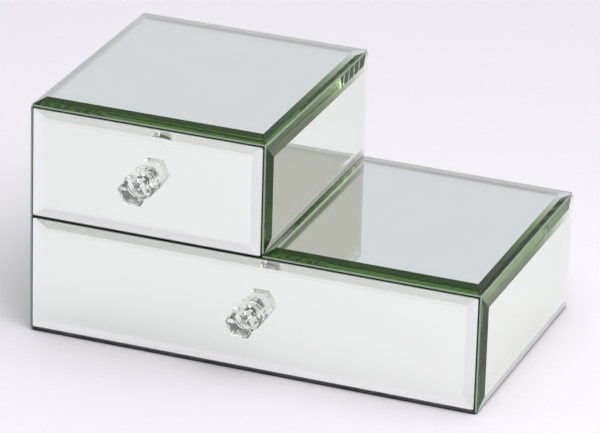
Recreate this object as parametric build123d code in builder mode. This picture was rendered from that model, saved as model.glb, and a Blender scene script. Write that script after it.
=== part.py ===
"""Stepped two-drawer trinket box faced with bevelled mirror glass.

A wide lower box carries a narrower upper box on its left half. Black boards form the carcass,
mirror plates are glued all over it, and each box holds one drawer with a clear hexagonal knob.
The origin is on the underside, at the middle of the lower box. X is the width, +Y is the back.
"""

from build123d import *
import os

# Driving dimensions, in millimetres
CASE_WIDTH = 250.0       # left edge of the top mirror to right edge of the shelf mirror
UPPER_WIDTH = 130.7      # width of the top mirror
CASE_DEPTH = 148.2       # front to back, over the ground edges
CASE_HEIGHT = 129.0      # underside to the ground edge of the top mirror
SHELF_HEIGHT = 67.2      # underside to the ground edge of the shelf mirror
SIDE_PROUD = 0.5         # side mirrors stand this far out past the top and shelf mirrors

GLASS = 3.0              # mirror thickness at its middle
GROUND_EDGE = 1.0        # mirror thickness left at its edge by the bevel
DRAWER_EDGE = 1.3        # the same on the drawer mirrors, whose bevels are shallower
TOP_BEVEL = (4.8, 9.0)   # bevel widths across X and across Y on the top and shelf mirrors
SIDE_BEVEL = (6.0, 7.4)  # along the front and back, and along the top and bottom
DRAWER_BEVEL = (7.0, 6.0)
MIRROR_CORNER = 1.0      # radius that takes the point off each corner of a plate
GLUE_GAP = 0.1           # between neighbouring plates that nearly touch
PLATE_GAP = 0.3          # between plates that meet on one face of the box

BOARD = 3.0              # carcass boards and drawer walls
FRONT_BOARD = 4.0
BASE_BOARD = 1.1
BASE_FELT = 0.9
FELT_INSET = 0.4         # felt stops this far inside the ground edges
FELT_CORNER = 2.0
BASE_CORNER = 0.8
FELT_SHADOW = 0.2        # side and back mirrors stop this far above the felt
DRAWER_BOTTOM = 2.0
LINING = 1.0

LEFT_REVEAL = 0.15       # gap between a drawer's front mirror and the left side mirror
RIGHT_REVEAL = 0.85      # the wider dark gap at its right
TOP_REVEAL = 0.95        # between the upper drawer's mirror and the top mirror
MIDDLE_REVEAL = 1.1      # between the lower drawer's mirror and the divider's top face
FOOT_REVEAL = 0.3        # between a drawer's mirror and the board below it
FRONT_RELIEF = 0.5       # carcass boards stop this far behind the drawer mirrors

SIDE_CLEARANCE = 0.6     # drawer to carcass, each side
BACK_CLEARANCE = 1.0     # closed drawer to the back board
HEAD_CLEARANCE = 0.6     # drawer front board to the board above it
WALL_DROP = 6.0          # drawer walls stop this far below the front board

KNOB_LENGTH = 14.4
KNOB_HEAD = 8.6          # centre to corner of the hexagon
KNOB_FRONT = 7.4         # the same, at the front face inside the chamfer
KNOB_BACK = 5.6          # the same, where the tapered back of the head meets the neck
KNOB_NECK = 4.6
KNOB_FOOT = 8.0
FOOT_RIM = 2.0
FOOT_CHAMFER = 0.3
NECK_START = 4.4
TAPER_START = 5.8
NECK_OVERLAP = 0.5
HEAD_START = 8.4
CHAMFER_START = 13.2

UPPER_KNOB_SHIFT = -1.1  # right of the middle of the drawer's mirror
LOWER_KNOB_SHIFT = 0.5

SCREW_HOLE = 1.5         # radius in the knob
SCREW_HOLE_DEPTH = 7.2
SHANK = 1.45
PASSAGE = 1.7            # radius of the hole through board, mirror and washer
SHANK_IN_KNOB = 6.5
HEAD_RADIUS = 3.0
HEAD_THICKNESS = 2.3
HEAD_ROUND = 0.8
TIP_CHAMFER = 0.4
WASHER_RADIUS = 3.5
WASHER = 0.5
LINING_HOLE = 4.2
RECESS_LENGTH = 3.2
RECESS_WIDTH = 0.7
RECESS_DEPTH = 1.2

# Places worked out from them
BACK_X = CASE_WIDTH / 2 + SIDE_PROUD - GROUND_EDGE             # silvered face of a side mirror
STEP_X = -CASE_WIDTH / 2 + UPPER_WIDTH + SIDE_PROUD - GROUND_EDGE    # the same, at the step
FACE_Y = CASE_DEPTH / 2 - GROUND_EDGE                          # silvered face, front and back
FLOOR_Z = BASE_FELT + BASE_BOARD
SHELF_Z = SHELF_HEIGHT - GROUND_EDGE
TOP_Z = CASE_HEIGHT - GROUND_EDGE
CARCASS_FRONT = -FACE_Y + FRONT_RELIEF
MIRROR_FOOT_Z = BASE_FELT + FELT_SHADOW
BEVEL_RISE = GLASS - GROUND_EDGE


def write(piece, node):
    """Label a finished piece and write it as one STEP file."""
    piece.part.label = node
    export_step(piece.part, f"parts/{node}.step")


def board(node, x, y, z, corner=0.0):
    """A flat board or sheet between the given X, Y and Z limits, its upright corners rounded."""
    with BuildPart() as piece:
        with BuildSketch(Plane.XY.offset(z[0])):
            with Locations(((x[0] + x[1]) / 2, (y[0] + y[1]) / 2)):
                if corner:
                    RectangleRounded(x[1] - x[0], y[1] - y[0], corner)
                else:
                    Rectangle(x[1] - x[0], y[1] - y[0])
        extrude(amount=z[1] - z[0])
    write(piece, node)


def mirror_plate(node, face, width, height, bevel, edge=GROUND_EDGE, hole=None):
    """A bevelled mirror whose silvered back lies on the plane `face`, centred on its origin.

    `hole` is the place of its screw hole, if it has one, across and up from that origin.
    """
    with BuildPart() as plate:
        with BuildSketch(face):
            Rectangle(width, height)
        extrude(amount=edge)
        with BuildSketch(face.offset(edge)):
            Rectangle(width, height)
        with BuildSketch(face.offset(GLASS)):
            Rectangle(width - 2 * bevel[0], height - 2 * bevel[1])
        loft(ruled=True)
        with BuildSketch(face):
            RectangleRounded(width, height, MIRROR_CORNER)
        extrude(amount=GLASS, mode=Mode.INTERSECT)
        if hole:
            with BuildSketch(face):
                with Locations(hole):
                    Circle(PASSAGE)
            extrude(amount=GLASS, mode=Mode.SUBTRACT)
    write(plate, node)


def upright_face(x, y, z, outward):
    """A vertical plane through a point, facing outward, with its local X horizontal."""
    across = Vector(0, 0, 1).cross(outward)
    return Plane(origin=(x, y, z), x_dir=across, z_dir=outward)


def side_mirror(node, x, outward, z):
    """A side mirror over the whole depth of the box, between two heights."""
    face = upright_face(x, 0, (z[0] + z[1]) / 2, outward)
    mirror_plate(node, face, CASE_DEPTH, z[1] - z[0], SIDE_BEVEL)


def back_mirror(node, x, z):
    """A back mirror that fits between two side mirrors."""
    face = upright_face((x[0] + x[1]) / 2, FACE_Y, (z[0] + z[1]) / 2, Vector(0, 1, 0))
    mirror_plate(node, face, x[1] - x[0] - 2 * PLATE_GAP, z[1] - z[0], SIDE_BEVEL)


def knob(node, x, z):
    """Clear knob: round foot, cone and neck, then a hexagonal head with a tapered back."""
    foot_y = -FACE_Y - GLASS
    front = Plane(origin=(x, foot_y, z), x_dir=(1, 0, 0), z_dir=(0, -1, 0))
    section = Plane(origin=(x, foot_y, z), x_dir=(1, 0, 0), z_dir=(0, 0, 1))
    with BuildPart() as clear_knob:
        with BuildSketch(section):
            with BuildLine():
                Polyline(
                    (0, 0),
                    (KNOB_FOOT - FOOT_CHAMFER, 0),
                    (KNOB_FOOT, -FOOT_CHAMFER),
                    (KNOB_FOOT, -FOOT_RIM),
                    (KNOB_NECK, -NECK_START),
                    (KNOB_NECK, -TAPER_START - NECK_OVERLAP),
                    (0, -TAPER_START - NECK_OVERLAP),
                    close=True,
                )
            make_face()
        revolve(axis=Axis((x, foot_y, z), (0, 1, 0)))
        with BuildSketch(front.offset(TAPER_START)):
            RegularPolygon(KNOB_BACK, 6)
        with BuildSketch(front.offset(HEAD_START)):
            RegularPolygon(KNOB_HEAD, 6)
        loft(ruled=True)
        with BuildSketch(front.offset(HEAD_START)):
            RegularPolygon(KNOB_HEAD, 6)
        extrude(amount=CHAMFER_START - HEAD_START)
        with BuildSketch(front.offset(CHAMFER_START)):
            RegularPolygon(KNOB_HEAD, 6)
        with BuildSketch(front.offset(KNOB_LENGTH)):
            RegularPolygon(KNOB_FRONT, 6)
        loft(ruled=True)
        with BuildSketch(front):
            Circle(SCREW_HOLE)
        extrude(amount=SCREW_HOLE_DEPTH, mode=Mode.SUBTRACT)
    write(clear_knob, node)


def knob_screw(node, x, seat_y, z):
    """Pan-head screw driven from inside the drawer, through board and mirror into the knob."""
    inward = Plane(origin=(x, seat_y, z), x_dir=(1, 0, 0), z_dir=(0, 1, 0))
    shank_length = seat_y + FACE_Y + GLASS + SHANK_IN_KNOB
    with BuildPart() as screw:
        with BuildSketch(inward):
            Circle(HEAD_RADIUS)
        extrude(amount=HEAD_THICKNESS)
        fillet(screw.edges().sort_by(Axis.Y)[-1], HEAD_ROUND)
        with BuildSketch(inward.offset(HEAD_THICKNESS)):
            Rectangle(RECESS_LENGTH, RECESS_WIDTH)
            Rectangle(RECESS_WIDTH, RECESS_LENGTH)
        extrude(amount=-RECESS_DEPTH, mode=Mode.SUBTRACT)
        with BuildSketch(inward):
            Circle(SHANK)
        extrude(amount=-shank_length)
        chamfer(screw.edges().sort_by(Axis.Y)[0], TIP_CHAMFER)
    write(screw, node)


def drawer(name, bay_x, mirror_x, mirror_z, roof_z, knob_shift):
    """One drawer: mirror, front board, walls, bottom, felt lining, knob, screw and washer."""
    x = (bay_x[0] + SIDE_CLEARANCE, bay_x[1] - SIDE_CLEARANCE)
    wall_x = (x[0] + BOARD, x[1] - BOARD)
    bottom_z = mirror_z[0]
    floor_z = bottom_z + DRAWER_BOTTOM
    front_top = roof_z - HEAD_CLEARANCE
    wall_top = front_top - WALL_DROP
    back_y = FACE_Y - BOARD - BACK_CLEARANCE
    front_y = -FACE_Y + FRONT_BOARD
    middle_x = (mirror_x[0] + mirror_x[1]) / 2
    knob_x = middle_x + knob_shift
    knob_z = (mirror_z[0] + mirror_z[1]) / 2

    glass_face = upright_face(middle_x, -FACE_Y, knob_z, Vector(0, -1, 0))
    glass_size = (mirror_x[1] - mirror_x[0], mirror_z[1] - mirror_z[0])
    mirror_plate(f"{name}_mirror", glass_face, *glass_size, DRAWER_BEVEL, DRAWER_EDGE, (knob_shift, 0))

    with BuildPart() as front_board:
        with BuildSketch(Plane.XY.offset(bottom_z)):
            with Locations(((x[0] + x[1]) / 2, -FACE_Y + FRONT_BOARD / 2)):
                Rectangle(x[1] - x[0], FRONT_BOARD)
        extrude(amount=front_top - bottom_z)
        with BuildSketch(upright_face(knob_x, -FACE_Y, knob_z, Vector(0, 1, 0))):
            Circle(PASSAGE)
        extrude(amount=FRONT_BOARD, mode=Mode.SUBTRACT)
    write(front_board, f"{name}_front_board")

    board(f"{name}_bottom", x, (front_y, back_y), (bottom_z, floor_z))
    side_y = (front_y, back_y - BOARD)
    board(f"{name}_left_wall", (x[0], wall_x[0]), side_y, (floor_z, wall_top))
    board(f"{name}_right_wall", (wall_x[1], x[1]), side_y, (floor_z, wall_top))
    board(f"{name}_back_wall", x, (back_y - BOARD, back_y), (floor_z, wall_top))

    middle = ((wall_x[0] + wall_x[1]) / 2, (side_y[0] + side_y[1]) / 2)
    inside = (wall_x[1] - wall_x[0], side_y[1] - side_y[0])
    with BuildPart() as lining:
        with BuildSketch(Plane.XY.offset(floor_z)):
            with Locations(middle):
                Rectangle(inside[0], inside[1])
        extrude(amount=wall_top - LINING - floor_z)
        with BuildSketch(Plane.XY.offset(floor_z + LINING)):
            with Locations(middle):
                Rectangle(inside[0] - 2 * LINING, inside[1] - 2 * LINING)
        extrude(amount=wall_top, mode=Mode.SUBTRACT)
        with BuildSketch(upright_face(knob_x, front_y, knob_z, Vector(0, 1, 0))):
            Circle(LINING_HOLE)
        extrude(amount=LINING, mode=Mode.SUBTRACT)
    write(lining, f"{name}_lining")

    with BuildPart() as washer:
        with BuildSketch(upright_face(knob_x, front_y, knob_z, Vector(0, 1, 0))):
            Circle(WASHER_RADIUS)
            Circle(PASSAGE, mode=Mode.SUBTRACT)
        extrude(amount=WASHER)
    write(washer, f"{name}_knob_washer")

    knob_screw(f"{name}_knob_screw", knob_x, front_y + WASHER, knob_z)
    knob(f"{name}_knob", knob_x, knob_z)


os.makedirs("parts", exist_ok=True)

# Base: a thin black board on a felt sheet, flush with the drawer mirror at the front
felt_edge = BACK_X + GROUND_EDGE - FELT_INSET
felt_x = (-felt_edge, felt_edge)
felt_y = (-CASE_DEPTH / 2 + FELT_INSET, CASE_DEPTH / 2 - FELT_INSET)
base_x = (-BACK_X, BACK_X)
base_y = (-CASE_DEPTH / 2, FACE_Y)
board("base_felt", felt_x, felt_y, (0, BASE_FELT), FELT_CORNER)
board("base_board", base_x, base_y, (BASE_FELT, FLOOR_Z), BASE_CORNER)

# Carcass boards: two boxes that share the divider board
inner_x = BACK_X - BOARD
inner_back = FACE_Y - BOARD
divider_z = SHELF_Z - BOARD
roof_z = TOP_Z - BOARD
board_y = (CARCASS_FRONT, FACE_Y)
lower_z = (FLOOR_Z, divider_z)
upper_z = (SHELF_Z, roof_z)
step_inner_x = STEP_X - BOARD
board("lower_left_board", (-BACK_X, -inner_x), board_y, lower_z)
board("lower_right_board", (inner_x, BACK_X), board_y, lower_z)
board("lower_back_board", (-inner_x, inner_x), (inner_back, FACE_Y), lower_z)
board("divider_board", (-BACK_X, BACK_X), board_y, (divider_z, SHELF_Z))
board("upper_left_board", (-BACK_X, -inner_x), board_y, upper_z)
board("upper_right_board", (step_inner_x, STEP_X), board_y, upper_z)
board("upper_back_board", (-inner_x, step_inner_x), (inner_back, FACE_Y), upper_z)
board("top_board", (-BACK_X, STEP_X), board_y, (roof_z, TOP_Z))

# Mirrors over the carcass: the top and shelf plates lie over the edges of the side plates
top_face = Plane(origin=((UPPER_WIDTH - CASE_WIDTH) / 2, 0, TOP_Z))
mirror_plate("top_mirror", top_face, UPPER_WIDTH, CASE_DEPTH, TOP_BEVEL)
shelf_width = CASE_WIDTH / 2 - STEP_X
shelf_face = Plane(origin=(STEP_X + shelf_width / 2, 0, SHELF_Z))
mirror_plate("shelf_mirror", shelf_face, shelf_width, CASE_DEPTH, TOP_BEVEL)

left = Vector(-1, 0, 0)
right = Vector(1, 0, 0)
lower_plate_z = (MIRROR_FOOT_Z, SHELF_Z - GLUE_GAP)
lower_open_z = (MIRROR_FOOT_Z, SHELF_Z - PLATE_GAP)
upper_plate_z = (SHELF_Z + GLUE_GAP, TOP_Z - GLUE_GAP)
step_edge_rise = BEVEL_RISE * GROUND_EDGE / TOP_BEVEL[0]
step_plate_z = (SHELF_HEIGHT + step_edge_rise + PLATE_GAP, TOP_Z - GLUE_GAP)
side_mirror("lower_left_mirror", -BACK_X, left, lower_open_z)
side_mirror("lower_right_mirror", BACK_X, right, lower_plate_z)
side_mirror("upper_left_mirror", -BACK_X, left, upper_plate_z)
side_mirror("upper_right_mirror", STEP_X, right, step_plate_z)
back_mirror("lower_back_mirror", (-BACK_X, BACK_X), lower_open_z)
back_mirror("upper_back_mirror", (-BACK_X, STEP_X), upper_plate_z)

# Drawers
drawer(
    "lower_drawer",
    bay_x=(-inner_x, inner_x),
    mirror_x=(-BACK_X + LEFT_REVEAL, BACK_X - RIGHT_REVEAL),
    mirror_z=(FLOOR_Z + FOOT_REVEAL, SHELF_Z - MIDDLE_REVEAL),
    roof_z=divider_z,
    knob_shift=LOWER_KNOB_SHIFT,
)
drawer(
    "upper_drawer",
    bay_x=(-inner_x, step_inner_x),
    mirror_x=(-BACK_X + LEFT_REVEAL, STEP_X - RIGHT_REVEAL),
    mirror_z=(SHELF_Z + FOOT_REVEAL, TOP_Z - TOP_REVEAL),
    roof_z=roof_z,
    knob_shift=UPPER_KNOB_SHIFT,
)
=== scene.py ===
"""Stepped two-drawer trinket box, faced all over with bevelled mirror glass on a black carcass."""

import math

import bmesh
import bpy
from mathutils import Matrix, Vector


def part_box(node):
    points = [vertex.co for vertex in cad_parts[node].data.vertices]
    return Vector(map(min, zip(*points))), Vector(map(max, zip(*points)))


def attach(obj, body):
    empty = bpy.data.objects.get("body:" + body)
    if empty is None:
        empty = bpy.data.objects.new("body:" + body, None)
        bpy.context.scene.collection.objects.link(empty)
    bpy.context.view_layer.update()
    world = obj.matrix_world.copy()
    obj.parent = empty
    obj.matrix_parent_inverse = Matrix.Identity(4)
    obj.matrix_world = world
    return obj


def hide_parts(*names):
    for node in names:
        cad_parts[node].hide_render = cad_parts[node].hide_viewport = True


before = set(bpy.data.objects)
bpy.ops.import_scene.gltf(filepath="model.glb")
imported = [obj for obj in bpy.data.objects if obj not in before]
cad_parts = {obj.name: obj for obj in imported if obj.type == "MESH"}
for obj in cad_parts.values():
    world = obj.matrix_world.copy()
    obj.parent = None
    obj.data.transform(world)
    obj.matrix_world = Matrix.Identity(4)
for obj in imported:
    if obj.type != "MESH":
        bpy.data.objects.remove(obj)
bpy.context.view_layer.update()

MM = 0.001
scene = bpy.context.scene


# --- Camera -----------------------------------------------------------------------------------
# A long lens looks down on the box past its front right corner, rolled a little. It
# stands 2.4 m away and aims at the middle of the box.

camera_azimuth = math.radians(20.62)
camera_elevation = math.radians(23.31)
camera_roll = math.radians(1.71)
camera_distance = 2399.4 * MM
camera_target = Vector((-1.35, -2.39, 59.92)) * MM
focal_length = 271.56
sensor_width = 36.0
sight_range = 50.0

camera_data = bpy.data.cameras.new("camera")
camera_data.sensor_width = sensor_width
camera_data.lens = focal_length
camera_data.clip_end = sight_range
camera = bpy.data.objects.new("camera", camera_data)
scene.collection.objects.link(camera)
turn = Matrix.Rotation(camera_azimuth, 4, "Z")
tilt = Matrix.Rotation(math.radians(90) - camera_elevation, 4, "X")
roll = Matrix.Rotation(camera_roll, 4, "Z")
back_off = Matrix.Translation((0, 0, camera_distance))
camera.matrix_world = Matrix.Translation(camera_target) @ turn @ tilt @ roll @ back_off
scene.camera = camera


# --- White table and studio light ---------------------------------------------------------------
# The box stands on a matt white sweep under a broad skylight and one soft lamp, high at the front
# right. The room's walls are cool grey to the left and warmer to the right, its ceiling is
# darker, and it is dim behind the camera, which puts the dark accents into the clear knobs.

table_radius = 5.0
table_sides = 96
paper_fibre = 3 * MM
lamp_place = Vector((0.42, -0.35, 0.80))
lamp_aim = Vector((0.0, -0.15, 0.0))
lamp_size = 0.6
lamp_power = 2.6
skylight_from = Vector((0.25, -0.15, 1.0))
skylight_spread = math.radians(70)
skylight_strength = 1.36
light_colour = (0.98, 0.94, 1.0)
left_walls = (0.75, 0.755, 0.83, 1)
right_walls = (0.62, 0.595, 0.60, 1)
ceiling = (0.40, 0.41, 0.40, 1)
dim_end = (0.13, 0.132, 0.13, 1)


def colour(hex_text):
    """A linear colour from its sRGB hex value."""
    parts = [int(hex_text[i:i + 2], 16) / 255 for i in (1, 3, 5)]
    linear = [c / 12.92 if c <= 0.04045 else ((c + 0.055) / 1.055) ** 2.4 for c in parts]
    return (*linear, 1.0)


def add(tree, kind, settings=None, links=None):
    """Add a node, set its properties or sockets, and feed its sockets from other sockets."""
    node = tree.nodes.new(kind)
    for name, value in (settings or {}).items():
        if isinstance(name, int) or name in node.inputs:
            node.inputs[name].default_value = value
        else:
            setattr(node, name, value)
    for name, source in (links or {}).items():
        tree.links.new(source, node.inputs[name])
    return node


def new_material(name):
    """An empty material, its node tree, its output node and the piece's own axes."""
    material = bpy.data.materials.new(name)
    material.use_nodes = True
    tree = material.node_tree
    tree.nodes.clear()
    where = add(tree, "ShaderNodeTexCoord").outputs["Object"]
    return material, tree, add(tree, "ShaderNodeOutputMaterial"), where


def speckle(tree, where, dark, light, size):
    """Blotches about `size` metres across, and a colour that wanders between two with them."""
    noise = add(tree, "ShaderNodeTexNoise", {"Scale": 1 / size, "Detail": 3.0}, {"Vector": where})
    ramp = add(tree, "ShaderNodeValToRGB", links={"Fac": noise.outputs["Fac"]})
    dark_end, light_end = ramp.color_ramp.elements
    dark_end.position = 0.35
    dark_end.color = dark
    light_end.position = 0.65
    light_end.color = light
    return noise.outputs["Fac"], ramp.outputs["Color"]


def finish(form, name, materials):
    """Turn a bmesh into a piece with these materials, at the origin."""
    mesh = bpy.data.meshes.new(name)
    form.to_mesh(mesh)
    form.free()
    for material in materials:
        mesh.materials.append(material)
    piece = bpy.data.objects.new(name, mesh)
    scene.collection.objects.link(piece)
    return piece


def shining_from(direction):
    """The turn of a light that shines from a direction."""
    return direction.to_track_quat("Z", "Y").to_matrix().to_4x4()


# uncoated paper: a flat, very even white
sweep_paper, tree, out, where = new_material("matt_white_sweep_paper")
_, tone = speckle(tree, where, colour("#FAFAFC"), colour("#FCFCFE"), paper_fibre)
shader = add(tree, "ShaderNodeBsdfPrincipled", {"Roughness": 0.9}, {"Base Color": tone})
tree.links.new(shader.outputs["BSDF"], out.inputs["Surface"])
sweep = bmesh.new()
bmesh.ops.create_circle(sweep, cap_ends=True, segments=table_sides, radius=table_radius)
finish(sweep, "white_sweep", [sweep_paper])

# sockets of a colour Mix node: its factor, its two colours and its result
mix_factor, mix_first, mix_second, mix_result = 0, 6, 7, 2

room = bpy.data.worlds.new("white_room")
scene.world = room
room.use_nodes = True
tree = room.node_tree
tree.nodes.clear()
compass = add(tree, "ShaderNodeTexCoord")
toward = add(tree, "ShaderNodeSeparateXYZ", links={"Vector": compass.outputs["Generated"]})
rightward = add(tree, "ShaderNodeMapRange", {"From Min": -0.25, "From Max": 0.25},
                {"Value": toward.outputs["X"]})
upward = add(tree, "ShaderNodeMapRange", {"From Min": 0.44, "From Max": 0.62},
             {"Value": toward.outputs["Z"]})
frontward = add(tree, "ShaderNodeMapRange", {"From Min": -0.30, "From Max": -0.55},
                {"Value": toward.outputs["Y"]})
walls = add(tree, "ShaderNodeMix", {"data_type": "RGBA", mix_first: left_walls, mix_second: right_walls},
            {mix_factor: rightward.outputs["Result"]})
roofed = add(tree, "ShaderNodeMix", {"data_type": "RGBA", mix_second: ceiling},
             {mix_factor: upward.outputs["Result"], mix_first: walls.outputs[mix_result]})
whole = add(tree, "ShaderNodeMix", {"data_type": "RGBA", mix_second: dim_end},
            {mix_factor: frontward.outputs["Result"], mix_first: roofed.outputs[mix_result]})
glow = add(tree, "ShaderNodeBackground", {"Strength": 1.0}, {"Color": whole.outputs[mix_result]})
add(tree, "ShaderNodeOutputWorld", links={"Surface": glow.outputs["Background"]})

lamp_data = bpy.data.lights.new("soft_lamp", "AREA")
lamp_data.energy = lamp_power
lamp_data.size = lamp_size
lamp_data.color = light_colour
lamp = bpy.data.objects.new("soft_lamp", lamp_data)
lamp.matrix_world = Matrix.Translation(lamp_place) @ shining_from(lamp_place - lamp_aim)
scene.collection.objects.link(lamp)

skylight_data = bpy.data.lights.new("skylight", "SUN")
skylight_data.energy = skylight_strength
skylight_data.angle = skylight_spread
skylight_data.color = light_colour
skylight = bpy.data.objects.new("skylight", skylight_data)
skylight.matrix_world = shining_from(skylight_from)
scene.collection.objects.link(skylight)

# light turns green by bouncing dozens of times between a plate's silver and its face
glass_bounces = 64
scene.view_settings.view_transform = "Standard"
scene.cycles.max_bounces = glass_bounces
scene.cycles.glossy_bounces = glass_bounces
scene.cycles.transmission_bounces = glass_bounces
scene.cycles.caustics_reflective = True
scene.cycles.caustics_refractive = True
scene.cycles.use_denoising = True


# --- Carcass boards -----------------------------------------------------------------------------
# Two boxes of thin fibreboard, one on the other, butt-jointed, glued and rolled with matt black
# paint. With the drawers shut, only their front edges show, as thin dark lines round the mirrors.

paint_grit = 0.8 * MM
grit_height = 0.08 * MM
roller_blotch = 9 * MM


def painted_board(name, dark, light):
    """Matt paint or dye on fibreboard: faintly mottled, its grit drawn coarse enough to show."""
    material, tree, out, where = new_material(name)
    blotch, tone = speckle(tree, where, colour(dark), colour(light), roller_blotch)
    grit = add(tree, "ShaderNodeTexNoise", {"Scale": 1 / paint_grit, "Detail": 2.0}, {"Vector": where})
    rough = add(tree, "ShaderNodeMapRange", {"To Min": 0.5, "To Max": 0.72}, {"Value": blotch})
    bump = add(tree, "ShaderNodeBump", {"Strength": 0.35, "Distance": grit_height},
               {"Height": grit.outputs["Fac"]})
    shader = add(tree, "ShaderNodeBsdfPrincipled", {"IOR": 1.48}, {
        "Base Color": tone, "Roughness": rough.outputs["Result"], "Normal": bump.outputs["Normal"]})
    tree.links.new(shader.outputs["BSDF"], out.inputs["Surface"])
    return material


def refinish(nodes, material):
    """Give carried-over boards and fittings their finish."""
    for node in nodes:
        for slot in bpy.data.objects[node].material_slots:
            slot.material = material


black_paint = painted_board("matt_black_paint_on_fibreboard", "#0B0B0C", "#171718")
refinish([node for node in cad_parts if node.endswith("_board")], black_paint)


# --- Base board and felt ------------------------------------------------------------------------
# The box stands on a thin sheet of black felt under a base board, whose sawn grey edge shows as
# a line over the felt. The felt is die-cut with round corners and pressed on, so its rim is soft.

felt_corner = 2 * MM
felt_rim = 0.35 * MM
fibre_length = 1.6 * MM
fibre_width = 0.35 * MM
fibre_stray = 0.8 * MM
pile_depth = 0.25 * MM
same_place = 0.01 * MM
nearly_parallel = 0.99

sawn_edge = painted_board("dyed_fibreboard_sawn_edge", "#3A3B3C", "#565757")
refinish(["base_board"], sawn_edge)

# pressed wool felt: near black, with short bent fibres that catch a little light at their tips
felt, tree, out, where = new_material("short_pile_black_felt")
swirl = add(tree, "ShaderNodeTexNoise", {"Scale": 1 / fibre_length, "Detail": 2.0}, {"Vector": where})
stray = add(tree, "ShaderNodeVectorMath", {"operation": "MULTIPLY_ADD", 1: (fibre_stray,) * 3},
            {0: swirl.outputs["Color"], 2: where})
fibres = add(tree, "ShaderNodeTexNoise", {"Scale": 1 / fibre_width, "Detail": 3.0, "Distortion": 0.6},
             {"Vector": stray.outputs["Vector"]})
ramp = add(tree, "ShaderNodeValToRGB", links={"Fac": fibres.outputs["Fac"]})
dark_end, light_end = ramp.color_ramp.elements
dark_end.position = 0.35
dark_end.color = colour("#060607")
light_end.position = 0.70
light_end.color = colour("#1E1E20")
bump = add(tree, "ShaderNodeBump", {"Strength": 0.8, "Distance": pile_depth},
           {"Height": fibres.outputs["Fac"]})
shader = add(tree, "ShaderNodeBsdfPrincipled", {
    "Roughness": 0.95, "Sheen Weight": 0.25, "Sheen Roughness": 0.5, "Sheen Tint": colour("#8A8A90")},
    {"Base Color": ramp.outputs["Color"], "Normal": bump.outputs["Normal"]})
tree.links.new(shader.outputs["BSDF"], out.inputs["Surface"])


def corners_of(node):
    """The low and high corners of the box round a CAD node."""
    low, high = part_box(node)
    return Vector(low), Vector(high)


def block(low, high):
    """A box-shaped bmesh between two corners."""
    form = bmesh.new()
    bmesh.ops.create_cube(form, size=1.0)
    bmesh.ops.scale(form, vec=high - low, verts=form.verts)
    bmesh.ops.translate(form, vec=(low + high) / 2, verts=form.verts)
    form.normal_update()
    return form


def edges_along(form, direction):
    """The straight edges of a bmesh that run along a direction."""
    return [edge for edge in form.edges
            if abs((edge.verts[0].co - edge.verts[1].co).normalized().dot(direction)) > nearly_parallel]


def round_edges(form, edges, offset, segments):
    """Round some edges of a bmesh."""
    bmesh.ops.bevel(form, geom=edges, offset=offset, segments=segments, profile=0.5,
                    affect="EDGES", material=-1)


sheet = block(*corners_of("base_felt"))
round_edges(sheet, edges_along(sheet, Vector((0, 0, 1))), felt_corner, 5)
rims = [edge for edge in sheet.edges if abs(edge.verts[0].co.z - edge.verts[1].co.z) < same_place]
round_edges(sheet, rims, felt_rim, 3)
base_felt = finish(sheet, "felt_base_sheet", [felt])
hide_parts("base_felt")
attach(base_felt, "carcass")


# --- Mirror plates ------------------------------------------------------------------------------
# 3 mm float glass, cut to size, with a wide bevel ground and polished round its front and the
# thin edge left ground. Silver on its back turns the bevels into traps for the glass's own
# green. The plates are glued to the boards, the top and shelf plates over the sides' edges.

glue_film = 0.02 * MM
silver_back = 0.05 * MM
silver_front = 0.08 * MM
silver_margin = 0.35 * MM
ground_edge = 1.0 * MM
drawer_edge = 1.3 * MM
corner_cut = 0.9 * MM
screw_hole = 1.7 * MM
plate_drill = 10 * MM
round_sides = 48
top_bevel = (4.8 * MM, 9.0 * MM)
side_bevel = (6.0 * MM, 7.4 * MM)
drawer_bevel = (7.0 * MM, 6.0 * MM)
ripple_size = 11 * MM
ripple_height = 0.3 * MM
haze_size = 30 * MM
edge_on = 0.1
polished, ground = 0, 1
# share of red, green and blue light lost in each millimetre of glass
iron_green = (0.0135, 0.0055, 0.0195)
# any density gives the same loss, if it is high enough to keep the colour worked out from it above 0
iron_density = 25.0


def float_glass(name, surface):
    """Soda-lime glass: clear through its face, deep green along its length from the iron in it."""
    material, tree, out, where = new_material(name)
    ripple = add(tree, "ShaderNodeTexNoise", {"Scale": 1 / ripple_size, "Detail": 1.0}, {"Vector": where})
    bump = add(tree, "ShaderNodeBump", {"Strength": 0.02, "Distance": ripple_height},
               {"Height": ripple.outputs["Fac"]})
    shader = add(tree, "ShaderNodeBsdfPrincipled", {"IOR": 1.52, **surface},
                 {"Normal": bump.outputs["Normal"]})
    left_over = [1 - loss / (iron_density * MM) for loss in iron_green]
    iron = add(tree, "ShaderNodeVolumeAbsorption", {"Color": (*left_over, 1), "Density": iron_density})
    tree.links.new(shader.outputs["BSDF"], out.inputs["Surface"])
    tree.links.new(iron.outputs["Volume"], out.inputs["Volume"])
    return material


# the face and bevels are polished clear, and the ground rim scatters light to a satin pale green
polished_glass = float_glass("polished_float_glass", {
    "Base Color": colour("#FFFFFF"), "Roughness": 0.0, "Transmission Weight": 1.0})
ground_glass = float_glass("ground_float_glass_edge", {
    "Base Color": colour("#A9BFA6"), "Roughness": 0.55, "Transmission Weight": 0.15})

# silver laid from solution: a near-perfect mirror, faintly violet. Its reflectances are given
# directly, because light meets it so often that the steps between hex values would show.
silver, tree, out, where = new_material("chemically_deposited_silver")
_, tone = speckle(tree, where, (0.962, 0.937, 0.972, 1), (0.968, 0.943, 0.978, 1), haze_size)
shader = add(tree, "ShaderNodeBsdfPrincipled", {"Metallic": 1.0, "Roughness": 0.0}, {"Base Color": tone})
tree.links.new(shader.outputs["BSDF"], out.inputs["Surface"])


def along_y(place):
    """The placing of a round shape whose axis runs front to back."""
    return Matrix.Translation(place) @ Matrix.Rotation(math.radians(90), 4, "X")


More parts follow.
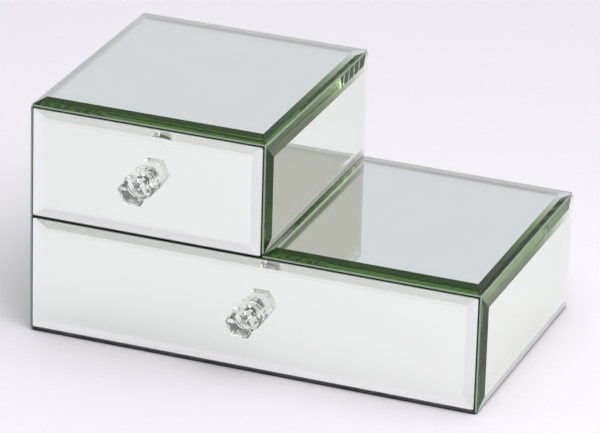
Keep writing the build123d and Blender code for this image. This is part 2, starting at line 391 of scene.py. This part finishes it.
def cut(piece, tool):
    """Take the tool's shape out of a piece, then throw the tool away."""
    modifier = piece.modifiers.new("cut", "BOOLEAN")
    modifier.object = tool
    modifier.solver = "EXACT"
    whole_mesh = piece.data
    piece.data = bpy.data.meshes.new_from_object(
        piece.evaluated_get(bpy.context.evaluated_depsgraph_get()))
    piece.modifiers.clear()
    bpy.data.meshes.remove(whole_mesh)
    bpy.data.objects.remove(tool)


def drill(piece, place, radius, length):
    """Drill a round hole along Y through a piece, centred on a place."""
    bit = bmesh.new()
    bmesh.ops.create_cone(bit, cap_ends=True, segments=round_sides, radius1=radius, radius2=radius,
                          depth=length, matrix=along_y(place))
    cut(piece, finish(bit, "drill_bit", []))


def mirror_plate(node, outward, bevel, body, edge=ground_edge, hole=None):
    """Glass and silver of one plate. `outward` is the way it faces, `hole` its screw's place."""
    low, high = corners_of(node)
    outward = Vector(outward)
    through = [abs(part) for part in outward].index(1.0)
    across = [i for i in range(3) if i != through]
    side = outward[through]
    back, front = (low[through], high[through]) if side > 0 else (high[through], low[through])

    def layer(start, end, margin=0.0):
        """Corners of the plate's stretch between two depths, held in from its edges."""
        corners = low.copy(), high.copy()
        corners[0][through], corners[1][through] = sorted((start, end))
        for i in across:
            corners[0][i] += margin
            corners[1][i] -= margin
        return corners

    glass = block(*layer(back + side * glue_film, back + side * edge))
    face = max(glass.faces, key=lambda f: f.normal.dot(outward))
    raised = bmesh.ops.extrude_face_region(glass, geom=[face])["geom"]
    bmesh.ops.delete(glass, geom=[face], context="FACES_ONLY")
    table = [part for part in raised if isinstance(part, bmesh.types.BMVert)]
    narrowing = Vector((1, 1, 1))
    for i, width in zip(across, bevel):
        narrowing[i] = 1 - 2 * width / (high - low)[i]
    bmesh.ops.translate(glass, vec=outward * (abs(front - back) - edge), verts=table)
    bmesh.ops.scale(glass, vec=narrowing, space=Matrix.Translation(-(low + high) / 2), verts=table)
    round_edges(glass, edges_along(glass, outward), corner_cut, 2)
    bmesh.ops.recalc_face_normals(glass, faces=glass.faces)
    for f in glass.faces:
        f.material_index = ground if abs(f.normal.dot(outward)) < edge_on else polished
    slab = finish(glass, node.replace("_mirror", "_glass"), [polished_glass, ground_glass])
    film = finish(block(*layer(back + side * silver_back, back + side * silver_front, silver_margin)),
                  node.replace("_mirror", "_silvering"), [silver])
    if hole:
        drill(slab, hole, screw_hole, plate_drill)
        drill(film, hole, screw_hole + silver_margin, plate_drill)
    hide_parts(node)
    for piece in (slab, film):
        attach(piece, body)


mirror_plate("top_mirror", (0, 0, 1), top_bevel, "carcass")
mirror_plate("shelf_mirror", (0, 0, 1), top_bevel, "carcass")
for level in ("lower", "upper"):
    mirror_plate(f"{level}_left_mirror", (-1, 0, 0), side_bevel, "carcass")
    mirror_plate(f"{level}_right_mirror", (1, 0, 0), side_bevel, "carcass")
    mirror_plate(f"{level}_back_mirror", (0, 1, 0), side_bevel, "carcass")
    knob_low, knob_high = corners_of(f"{level}_drawer_knob")
    screw_place = (knob_low + knob_high) / 2
    screw_place.y = knob_high.y
    mirror_plate(f"{level}_drawer_mirror", (0, -1, 0), drawer_bevel, f"{level}_drawer", drawer_edge,
                 screw_place)


# --- Drawer boxes and linings -------------------------------------------------------------------
# Each drawer is a tray of the same black boards behind its mirror. It is lined with one skin of
# the same felt, folded up the walls with soft corners, with a hole round the knob's washer.

lining_thickness = 0.95 * MM
lining_corner = 2.5 * MM
lining_hole = 4.2 * MM
lining_drill = 6 * MM

refinish([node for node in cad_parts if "_drawer_" in node and node.endswith(("_wall", "_bottom"))],
         black_paint)

for name in ("lower_drawer", "upper_drawer"):
    tray = block(*corners_of(f"{name}_lining"))
    lid = max(tray.faces, key=lambda f: f.normal.z)
    bmesh.ops.delete(tray, geom=[lid], context="FACES_ONLY")
    folds = [edge for edge in tray.edges if not edge.is_boundary]
    round_edges(tray, folds, lining_corner, 4)
    bmesh.ops.recalc_face_normals(tray, faces=tray.faces)
    bmesh.ops.solidify(tray, geom=tray.faces[:], thickness=lining_thickness)
    skin = finish(tray, f"{name}_felt_lining", [felt])
    washer_low, washer_high = corners_of(f"{name}_knob_washer")
    drill(skin, (washer_low + washer_high) / 2, lining_hole, lining_drill)
    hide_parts(f"{name}_lining")
    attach(skin, name)


# --- Knob screws and washers --------------------------------------------------------------------
# An M3 pan-head screw, zinc plated, is driven from inside each drawer through a plain washer, the
# board and the glass, into the knob. Its rolled thread shows through the clear knob.

head_radius = 3.0 * MM
head_height = 2.3 * MM
head_round = 1.0 * MM
recess_reach = 1.6 * MM
recess_half = 0.35 * MM
recess_depth = 1.2 * MM
shank_sides = 24
tip_round = 0.5 * MM
thread_root = 1.22 * MM
thread_crest = 1.47 * MM
thread_half = 0.21 * MM
thread_flat = 0.04 * MM
thread_pitch = 0.5 * MM
thread_steps = 16
plating_cloud = 2.5 * MM
brush_mark = 0.25 * MM
brush_depth = 0.02 * MM

# bright zinc plate: a soft grey shine with a slight yellow cloud
zinc, tree, out, where = new_material("bright_zinc_plated_steel")
cloud, tone = speckle(tree, where, colour("#B9BDC0"), colour("#D2D1CA"), plating_cloud)
brushing = add(tree, "ShaderNodeTexNoise", {"Scale": 1 / brush_mark, "Detail": 2.0}, {"Vector": where})
rough = add(tree, "ShaderNodeMapRange", {"To Min": 0.22, "To Max": 0.42}, {"Value": cloud})
bump = add(tree, "ShaderNodeBump", {"Strength": 0.2, "Distance": brush_depth},
           {"Height": brushing.outputs["Fac"]})
shader = add(tree, "ShaderNodeBsdfPrincipled", {"Metallic": 1.0}, {
    "Base Color": tone, "Roughness": rough.outputs["Result"], "Normal": bump.outputs["Normal"]})
tree.links.new(shader.outputs["BSDF"], out.inputs["Surface"])
refinish(["lower_drawer_knob_washer", "upper_drawer_knob_washer"], zinc)


def edges_at(form, y):
    """The edges of a bmesh that lie in one plane across Y."""
    return [edge for edge in form.edges
            if all(abs(vert.co.y - y) < same_place for vert in edge.verts)]


for name in ("lower_drawer", "upper_drawer"):
    low, high = corners_of(f"{name}_knob_screw")
    axis = (low + high) / 2
    seat = high.y - head_height

    screw = bmesh.new()
    head_middle = Vector((axis.x, seat + head_height / 2, axis.z))
    bmesh.ops.create_cone(screw, cap_ends=True, segments=round_sides, radius1=head_radius,
                          radius2=head_radius, depth=head_height, matrix=along_y(head_middle))
    round_edges(screw, edges_at(screw, high.y), head_round, 5)
    head = finish(screw, f"{name}_threaded_screw", [zinc])
    crown = Vector((axis.x, high.y, axis.z))
    for reach in ((recess_reach, recess_half), (recess_half, recess_reach)):
        half = Vector((reach[0], recess_depth, reach[1]))
        cut(head, finish(block(crown - half, crown + half), "cross_bit", []))

    screw = bmesh.new()
    screw.from_mesh(head.data)
    shank_middle = Vector((axis.x, (low.y + seat) / 2, axis.z))
    bmesh.ops.create_cone(screw, cap_ends=True, segments=shank_sides, radius1=thread_root,
                          radius2=thread_root, depth=seat - low.y, matrix=along_y(shank_middle))
    round_edges(screw, edges_at(screw, low.y), tip_round, 2)
    # the thread is a blunt ridge, spun from just behind the tip up to the head
    start = low.y + thread_pitch
    ridge = [screw.verts.new((axis.x + radius, start + along, axis.z)) for radius, along in (
        (thread_root, -thread_half), (thread_crest, -thread_flat),
        (thread_crest, thread_flat), (thread_root, thread_half))]
    turns = (seat - start) / thread_pitch - 0.5
    steps = round(turns * thread_steps)
    bmesh.ops.spin(screw, geom=[screw.faces.new(ridge)], cent=axis, axis=(0, 1, 0),
                   dvec=(0, thread_pitch * turns / steps, 0), angle=2 * math.pi * turns,
                   steps=steps, use_merge=False)
    bmesh.ops.recalc_face_normals(screw, faces=screw.faces)
    screw.to_mesh(head.data)
    screw.free()
    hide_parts(f"{name}_knob_screw")
    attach(head, name)


# --- Knobs --------------------------------------------------------------------------------------
# Clear moulded acrylic: a round foot with a cone and neck, then a hexagonal head with a tapered
# back and a small chamfer round its front. A blind hole up its middle takes the screw.

foot_gap = 0.04 * MM
head_start = 8 * MM
facet_length = 2.5 * MM
facet_round = 0.22 * MM
facet_angle = math.radians(25)
moulding_flow = 4 * MM
flow_depth = 0.2 * MM
still_flat = math.radians(1)
hexagon = 6
# each section's sides, its radius at a corner and its distance from the glass, bore end first
knob_sections = (
    (round_sides, 1.5 * MM, 7.2 * MM),
    (round_sides, 1.5 * MM, foot_gap),
    (round_sides, 7.7 * MM, foot_gap),
    (round_sides, 8.0 * MM, 0.3 * MM),
    (round_sides, 8.0 * MM, 2.0 * MM),
    (round_sides, 4.6 * MM, 4.4 * MM),
    (round_sides, 4.6 * MM, 5.8 * MM),
    (hexagon, 5.6 * MM, 5.8 * MM),
    (hexagon, 8.6 * MM, 8.4 * MM),
    (hexagon, 8.6 * MM, 13.2 * MM),
    (hexagon, 7.4 * MM, 14.4 * MM),
)

# moulded acrylic: almost colourless, with slow waves where it flowed in the mould
acrylic, tree, out, where = new_material("clear_moulded_acrylic")
flow = add(tree, "ShaderNodeTexNoise", {"Scale": 1 / moulding_flow, "Detail": 1.0}, {"Vector": where})
bump = add(tree, "ShaderNodeBump", {"Strength": 0.05, "Distance": flow_depth},
           {"Height": flow.outputs["Fac"]})
shader = add(tree, "ShaderNodeBsdfPrincipled", {
    "Base Color": colour("#FFFFFF"), "Roughness": 0.0, "IOR": 1.49, "Transmission Weight": 1.0},
    {"Normal": bump.outputs["Normal"]})
haze = add(tree, "ShaderNodeVolumeAbsorption", {"Color": colour("#DDE3DC"), "Density": 8.0})
tree.links.new(shader.outputs["BSDF"], out.inputs["Surface"])
tree.links.new(haze.outputs["Volume"], out.inputs["Volume"])


def shape_ring(verts, foot, sides, radius, distance):
    """Move a ring of points onto a section of a knob, with a corner on the X axis of its foot."""
    sector = 2 * math.pi / sides
    for vert in verts:
        angle = math.atan2(vert.co.z - foot.z, vert.co.x - foot.x)
        off_middle = angle % sector - sector / 2
        reach = radius * math.cos(sector / 2) / math.cos(off_middle)
        vert.co = (foot.x + reach * math.cos(angle), foot.y - distance,
                   foot.z + reach * math.sin(angle))


for name in ("lower_drawer", "upper_drawer"):
    low, high = corners_of(f"{name}_knob")
    foot = Vector(((low.x + high.x) / 2, high.y, (low.z + high.z) / 2))
    crystal = bmesh.new()
    # the first ring starts at any size, because each ring is shaped as it is made
    bmesh.ops.create_circle(crystal, segments=round_sides, radius=MM, matrix=along_y(foot))
    shape_ring(crystal.verts, foot, *knob_sections[0])
    rim = crystal.edges[:]
    bore_end = crystal.edges[:]
    for section in knob_sections[1:]:
        grown = bmesh.ops.extrude_edge_only(crystal, edges=rim)["geom"]
        points = {part for part in grown if isinstance(part, bmesh.types.BMVert)}
        shape_ring(points, foot, *section)
        rim = [edge for edge in crystal.edges if set(edge.verts) <= points]
    for end in (bore_end, rim):
        bmesh.ops.contextual_create(crystal, geom=end)
    bmesh.ops.dissolve_limit(crystal, angle_limit=still_flat, verts=crystal.verts[:],
                             edges=crystal.edges[:])
    bmesh.ops.recalc_face_normals(crystal, faces=crystal.faces)
    facets = [edge for edge in crystal.edges
              if edge.calc_length() > facet_length
              and all(vert.co.y < high.y - head_start for vert in edge.verts)]
    round_edges(crystal, facets, facet_round, 2)
    bmesh.ops.recalc_face_normals(crystal, faces=crystal.faces)
    for f in crystal.faces:
        f.smooth = True
    knob = finish(crystal, f"{name}_clear_knob", [acrylic])
    knob.data.set_sharp_from_angle(angle=facet_angle)
    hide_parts(f"{name}_knob")
    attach(knob, name)
